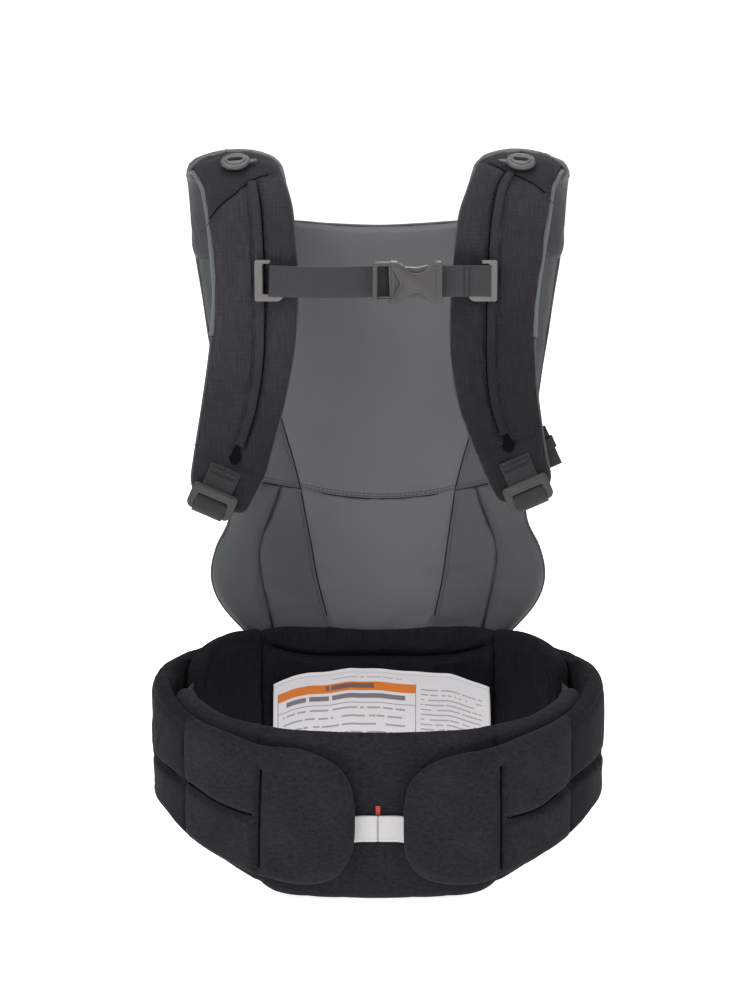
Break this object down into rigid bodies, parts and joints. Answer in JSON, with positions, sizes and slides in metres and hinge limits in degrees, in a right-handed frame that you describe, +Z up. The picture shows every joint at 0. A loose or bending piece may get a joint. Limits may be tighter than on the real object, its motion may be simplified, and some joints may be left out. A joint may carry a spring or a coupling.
{
  "type": "soft baby carrier",
  "caption": "Soft buckle carrier standing on its padded waist belt, with a seat panel, sliding sternum strap, shoulder straps and hook-and-loop belt wings.",
  "frame": {"origin": "bottom centre of the waist belt, on the surface that it stands on", "axes": "+X to the right seen from the wearer's back, +Y from the wearer's back towards the baby panel, +Z up"},
  "size_m": [0.362, 0.24, 0.5675],
  "materials": {
    "belt_ripstop": "fine black ripstop",
    "belt_knit": "brushed black knit",
    "strap_fabric": "charcoal slub ripstop",
    "panel_fabric": "smooth grey softshell",
    "webbing": "woven webbing",
    "hook_loop": "hook and loop tape",
    "pull_tab": "off-white webbing",
    "marker": "red tape",
    "label": "printed satin label",
    "foam": "closed-cell foam",
    "hardware": "warm grey nylon"
  },
  "bodies": {
    "belt": {"belly_pad_cover": "belt_ripstop", "belly_pad_foam": "foam", "front_belt_cover": "belt_ripstop", "front_belt_foam": "foam", "left_belly_wing": "belt_ripstop", "right_belly_wing": "belt_ripstop", "care_label": "label", "left_hip_cover": "belt_ripstop", "right_hip_cover": "belt_ripstop", "left_hip_foam": "foam", "right_hip_foam": "foam", "left_link_webbing": "webbing", "right_link_webbing": "webbing", "lumbar_pad_cover": "belt_knit", "lumbar_pad_foam": "foam", "left_loop_patch": "hook_loop", "right_loop_patch": "hook_loop", "centre_marker_tab": "marker"},
    "left_wing": {"left_wing_cover": "belt_knit", "left_wing_foam": "foam", "left_hook_patch": "hook_loop", "left_pull_tab": "pull_tab"},
    "right_wing": {"right_wing_cover": "belt_knit", "right_wing_foam": "foam", "right_hook_patch": "hook_loop", "right_pull_tab": "pull_tab"},
    "panel": {"seat_panel": "panel_fabric", "upper_panel": "panel_fabric", "left_leg_bolster": "panel_fabric", "right_leg_bolster": "panel_fabric", "left_rear_strap": "panel_fabric", "right_rear_strap": "panel_fabric", "left_webbing_anchor": "webbing", "right_webbing_anchor": "webbing"},
    "left_strap": {"left_strap_cover": "strap_fabric", "left_strap_foam": "foam", "left_strap_rail": "strap_fabric", "left_lock_webbing": "webbing", "left_adjuster_webbing": "webbing"},
    "right_strap": {"right_strap_cover": "strap_fabric", "right_strap_foam": "foam", "right_strap_rail": "strap_fabric", "right_lock_webbing": "webbing", "right_adjuster_webbing": "webbing", "right_webbing_tail": "webbing", "right_webbing_keeper": "webbing"},
    "left_slider": {"left_slider_clip": "hardware", "left_sternum_webbing": "webbing"},
    "right_slider": {"right_slider_clip": "hardware", "right_sternum_webbing": "webbing", "buckle_socket": "hardware"},
    "plug": {"buckle_plug": "hardware"},
    "upper_prong_arm": {"upper_prong": "hardware"},
    "lower_prong_arm": {"lower_prong": "hardware"},
    "left_lock": {"left_ladder_lock": "hardware"},
    "left_toggle": {"left_hood_toggle": "hardware"},
    "right_lock": {"right_ladder_lock": "hardware"},
    "right_toggle": {"right_hood_toggle": "hardware"}
  },
  "joints": [
    {"name": "left_wing_opens", "type": "hinge", "parent": "belt", "child": "left_wing", "pos_m": [-0.181, -0.013, 0.072], "axis": [0, 0, -1], "range_deg": [0, 60]},
    {"name": "right_wing_opens", "type": "hinge", "parent": "belt", "child": "right_wing", "pos_m": [0.181, -0.013, 0.072], "axis": [0, 0, 1], "range_deg": [0, 60]},
    {"name": "panel_leans", "type": "hinge", "parent": "belt", "child": "panel", "pos_m": [0, 0.101, 0.16], "axis": [1, 0, 0], "range_deg": [-25, 30]},
    {"name": "left_strap_swings", "type": "hinge", "parent": "panel", "child": "left_strap", "pos_m": [-0.11, 0.027, 0.566], "axis": [-1, 0, 0], "range_deg": [0, 40]},
    {"name": "right_strap_swings", "type": "hinge", "parent": "panel", "child": "right_strap", "pos_m": [0.11, 0.027, 0.566], "axis": [-1, 0, 0], "range_deg": [0, 40]},
    {"name": "left_slider_slides", "type": "slide", "parent": "left_strap", "child": "left_slider", "axis": [0, 0, 1], "range_m": [-0.045, 0.012]},
    {"name": "right_slider_slides", "type": "slide", "parent": "right_strap", "child": "right_slider", "axis": [0, 0, 1], "range_m": [-0.045, 0.012]},
    {"name": "plug_pulls_out", "type": "slide", "parent": "left_slider", "child": "plug", "axis": [-1, 0, 0], "range_m": [0, 0.032]},
    {"name": "upper_prong_flexes", "type": "hinge", "parent": "plug", "child": "upper_prong_arm", "pos_m": [0.021, -0.03775, 0.4829], "axis": [0, 1, 0], "range_deg": [0, 8], "stiffness_Nm_per_rad": 0.6},
    {"name": "lower_prong_flexes", "type": "hinge", "parent": "plug", "child": "lower_prong_arm", "pos_m": [0.021, -0.03775, 0.4631], "axis": [0, -1, 0], "range_deg": [0, 8], "stiffness_Nm_per_rad": 0.6},
    {"name": "left_lock_tilts", "type": "hinge", "parent": "left_strap", "child": "left_lock", "pos_m": [-0.12584, -0.0268, 0.30772], "axis": [-0.9135, 0, 0.4067], "range_deg": [0, 35]},
    {"name": "left_toggle_turns", "type": "hinge", "parent": "left_strap", "child": "left_toggle", "pos_m": [-0.109, -0.00029, 0.55902], "axis": [0, -0.5446, 0.8387], "range_deg": [-30, 30]},
    {"name": "right_lock_tilts", "type": "hinge", "parent": "right_strap", "child": "right_lock", "pos_m": [0.11334, -0.0268, 0.31472], "axis": [-0.9135, 0, -0.4067], "range_deg": [0, 35]},
    {"name": "right_toggle_turns", "type": "hinge", "parent": "right_strap", "child": "right_toggle", "pos_m": [0.109, -0.00029, 0.55902], "axis": [0, -0.5446, 0.8387], "range_deg": [-30, 30]}
  ],
  "couplings": [
    {"joint": "right_strap_swings", "follows": "left_strap_swings", "ratio": 1},
    {"joint": "right_slider_slides", "follows": "left_slider_slides", "ratio": 1},
    {"joint": "lower_prong_flexes", "follows": "upper_prong_flexes", "ratio": 1}
  ]
}
